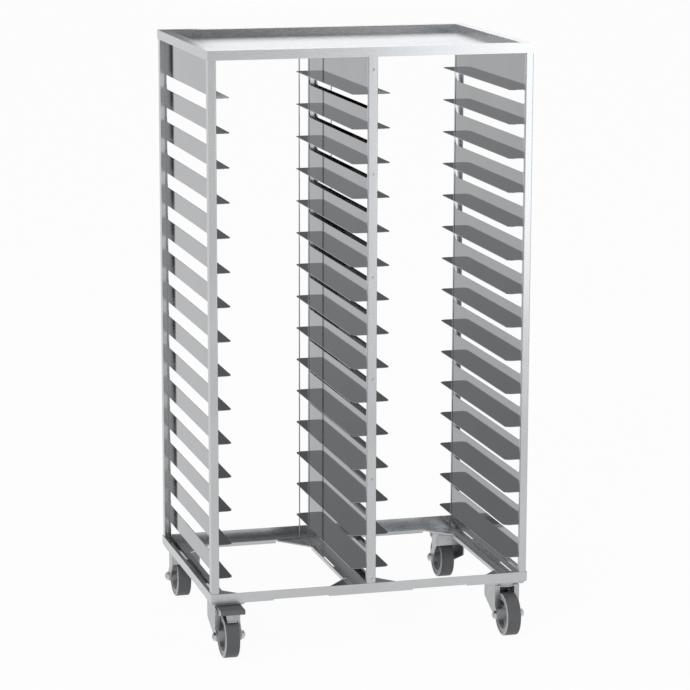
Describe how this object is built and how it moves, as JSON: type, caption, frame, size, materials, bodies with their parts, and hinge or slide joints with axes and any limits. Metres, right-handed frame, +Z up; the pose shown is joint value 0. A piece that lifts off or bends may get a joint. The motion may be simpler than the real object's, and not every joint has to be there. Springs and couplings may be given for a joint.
{
  "type": "tray trolley",
  "caption": "Tall stainless steel tray trolley with two columns of lanced ledges, open front and back, closed rimmed top and braked swivel casters.",
  "frame": {"origin": "on the floor, under the middle of the bounding box", "axes": "+X to the right seen from the front, +Y to the back, +Z up"},
  "size_m": [0.968, 0.792, 1.774],
  "materials": {
    "frame_steel": "satin stainless steel",
    "panel_steel": "bright cold-rolled stainless steel",
    "top_steel": "satin stainless steel",
    "rod_steel": "drawn stainless steel",
    "fastener_steel": "bright steel",
    "caster_steel": "zinc-plated pressed steel",
    "hub_plastic": "matt",
    "tyre_rubber": "matt grey rubber",
    "pedal_paint": "matt"
  },
  "bodies": {
    "frame": {"base_mid_beam": "frame_steel", "base_rail_back": "frame_steel", "base_rail_front": "frame_steel", "base_rail_left": "frame_steel", "base_rail_right": "frame_steel", "caster_plate_back_left": "caster_steel", "caster_plate_back_right": "caster_steel", "caster_plate_bolts": "fastener_steel", "caster_plate_front_left": "caster_steel", "caster_plate_front_right": "caster_steel", "corner_gussets": "frame_steel", "king_pin_back_left": "fastener_steel", "king_pin_back_right": "fastener_steel", "king_pin_front_left": "fastener_steel", "king_pin_front_right": "fastener_steel", "mid_gussets": "frame_steel", "mid_panel_left": "panel_steel", "mid_panel_right": "panel_steel", "mid_post_back": "frame_steel", "mid_post_front": "frame_steel", "mid_post_rivets": "fastener_steel", "mid_spacers": "frame_steel", "post_back_left": "frame_steel", "post_back_right": "frame_steel", "post_front_left": "frame_steel", "post_front_right": "frame_steel", "rim_rail_back": "top_steel", "rim_rail_front": "top_steel", "rim_rail_left": "top_steel", "rim_rail_right": "top_steel", "side_panel_left": "panel_steel", "side_panel_right": "panel_steel", "stop_rod_left": "rod_steel", "stop_rod_right": "rod_steel", "top_sheet": "top_steel"},
    "swivel_front_left": {"fork_front_left": "caster_steel", "swivel_race_front_left": "caster_steel", "axle_front_left": "fastener_steel"},
    "wheel_front_left": {"wheel_hub_front_left": "hub_plastic", "tyre_front_left": "tyre_rubber"},
    "pedal_front_left": {"brake_pedal_front_left": "pedal_paint", "brake_shoe_front_left": "caster_steel"},
    "swivel_front_right": {"fork_front_right": "caster_steel", "swivel_race_front_right": "caster_steel", "axle_front_right": "fastener_steel"},
    "wheel_front_right": {"wheel_hub_front_right": "hub_plastic", "tyre_front_right": "tyre_rubber"},
    "swivel_back_left": {"fork_back_left": "caster_steel", "swivel_race_back_left": "caster_steel", "axle_back_left": "fastener_steel"},
    "wheel_back_left": {"wheel_hub_back_left": "hub_plastic", "tyre_back_left": "tyre_rubber"},
    "swivel_back_right": {"fork_back_right": "caster_steel", "swivel_race_back_right": "caster_steel", "axle_back_right": "fastener_steel"},
    "wheel_back_right": {"wheel_hub_back_right": "hub_plastic", "tyre_back_right": "tyre_rubber"},
    "pedal_back_right": {"brake_pedal_back_right": "pedal_paint", "brake_shoe_back_right": "caster_steel"}
  },
  "joints": [
    {"name": "swivel_front_left", "type": "hinge", "parent": "frame", "child": "swivel_front_left", "pos_m": [-0.43, -0.296, 0.15], "axis": [0, 0, 1], "continuous": true},
    {"name": "wheel_front_left", "type": "hinge", "parent": "swivel_front_left", "child": "wheel_front_left", "pos_m": [-0.43, -0.332, 0.064], "axis": [1, 0, 0], "continuous": true},
    {"name": "pedal_front_left", "type": "hinge", "parent": "swivel_front_left", "child": "pedal_front_left", "pos_m": [-0.43, -0.332, 0.138], "axis": [1, 0, 0], "range_deg": [0, 8.3]},
    {"name": "swivel_front_right", "type": "hinge", "parent": "frame", "child": "swivel_front_right", "pos_m": [0.43, -0.296, 0.15], "axis": [0, 0, 1], "continuous": true},
    {"name": "wheel_front_right", "type": "hinge", "parent": "swivel_front_right", "child": "wheel_front_right", "pos_m": [0.43, -0.332, 0.064], "axis": [1, 0, 0], "continuous": true},
    {"name": "swivel_back_left", "type": "hinge", "parent": "frame", "child": "swivel_back_left", "pos_m": [-0.43, 0.296, 0.15], "axis": [0, 0, 1], "continuous": true},
    {"name": "wheel_back_left", "type": "hinge", "parent": "swivel_back_left", "child": "wheel_back_left", "pos_m": [-0.43, 0.332, 0.064], "axis": [1, 0, 0], "continuous": true},
    {"name": "swivel_back_right", "type": "hinge", "parent": "frame", "child": "swivel_back_right", "pos_m": [0.43, 0.296, 0.15], "axis": [0, 0, 1], "continuous": true},
    {"name": "wheel_back_right", "type": "hinge", "parent": "swivel_back_right", "child": "wheel_back_right", "pos_m": [0.43, 0.332, 0.064], "axis": [1, 0, 0], "continuous": true},
    {"name": "pedal_back_right", "type": "hinge", "parent": "swivel_back_right", "child": "pedal_back_right", "pos_m": [0.43, 0.332, 0.138], "axis": [-1, 0, 0], "range_deg": [0, 8.3]}
  ]
}
